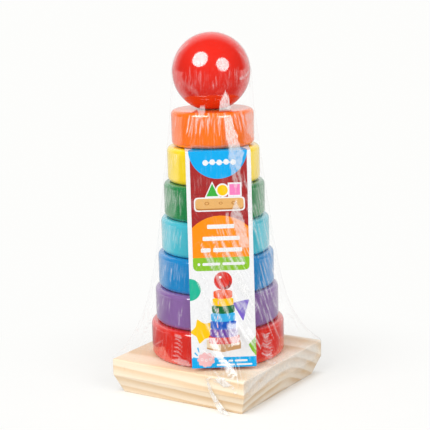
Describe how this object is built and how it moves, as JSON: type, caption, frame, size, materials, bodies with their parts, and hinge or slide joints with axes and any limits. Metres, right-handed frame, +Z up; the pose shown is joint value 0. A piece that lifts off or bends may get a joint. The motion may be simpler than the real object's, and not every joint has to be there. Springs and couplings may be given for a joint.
{
  "type": "stacking ring toy",
  "caption": "Wooden stacking toy: painted rings of falling size and a ball on a peg in a bevelled square base, with a folded printed card under clear shrink film.",
  "frame": {"origin": "centre of the base board's underside, on the table", "axes": "+Z up the peg; -Y out of the board's long-grain face; +X out of its end-grain face"},
  "size_m": [0.1024, 0.1024, 0.2316],
  "materials": {
    "pine": "bare planed softwood",
    "dowel": "bare beech",
    "red_paint": "gloss paint on turned wood",
    "purple_paint": "gloss paint on turned wood",
    "blue_paint": "gloss paint on turned wood",
    "turquoise_paint": "gloss paint on turned wood",
    "green_paint": "gloss paint on turned wood",
    "yellow_paint": "gloss paint on turned wood",
    "orange_paint": "gloss paint on turned wood",
    "printed_card": "gloss print",
    "clear_film": "clear shrink film"
  },
  "bodies": {
    "base": {"base_board": "pine", "peg": "dowel"},
    "ring_red": {"ring_red": "red_paint"},
    "ring_purple": {"ring_purple": "purple_paint"},
    "ring_blue": {"ring_blue": "blue_paint"},
    "ring_turquoise": {"ring_turquoise": "turquoise_paint"},
    "ring_green": {"ring_green": "green_paint"},
    "ring_yellow": {"ring_yellow": "yellow_paint"},
    "label_card": {"label_card": "printed_card"},
    "ring_orange": {"ring_orange": "orange_paint"},
    "ball": {"ball": "red_paint"},
    "shrink_film": {"shrink_film": "clear_film"}
  },
  "joints": [
    {"name": "ring_red_lift", "type": "slide", "parent": "base", "child": "ring_red", "axis": [0, 0, 1], "range_m": [0, 0.1869]},
    {"name": "ring_purple_lift", "type": "slide", "parent": "ring_red", "child": "ring_purple", "axis": [0, 0, 1], "range_m": [0, 0.1642]},
    {"name": "ring_blue_lift", "type": "slide", "parent": "ring_purple", "child": "ring_blue", "axis": [0, 0, 1], "range_m": [0, 0.1414]},
    {"name": "ring_turquoise_lift", "type": "slide", "parent": "ring_blue", "child": "ring_turquoise", "axis": [0, 0, 1], "range_m": [0, 0.1187]},
    {"name": "ring_green_lift", "type": "slide", "parent": "ring_turquoise", "child": "ring_green", "axis": [0, 0, 1], "range_m": [0, 0.096]},
    {"name": "ring_yellow_lift", "type": "slide", "parent": "ring_green", "child": "ring_yellow", "axis": [0, 0, 1], "range_m": [0, 0.0732]},
    {"name": "label_card_lift", "type": "slide", "parent": "ring_yellow", "child": "label_card", "axis": [0, 0, 1], "range_m": [0, 0.0504]},
    {"name": "ring_orange_lift", "type": "slide", "parent": "label_card", "child": "ring_orange", "axis": [0, 0, 1], "range_m": [0, 0.05]},
    {"name": "ball_lift", "type": "slide", "parent": "ring_orange", "child": "ball", "axis": [0, 0, 1], "range_m": [0, 0.0273]},
    {"name": "shrink_film_lift", "type": "slide", "parent": "ball", "child": "shrink_film", "axis": [0, 0, 1], "range_m": [0, 0.225]}
  ]
}
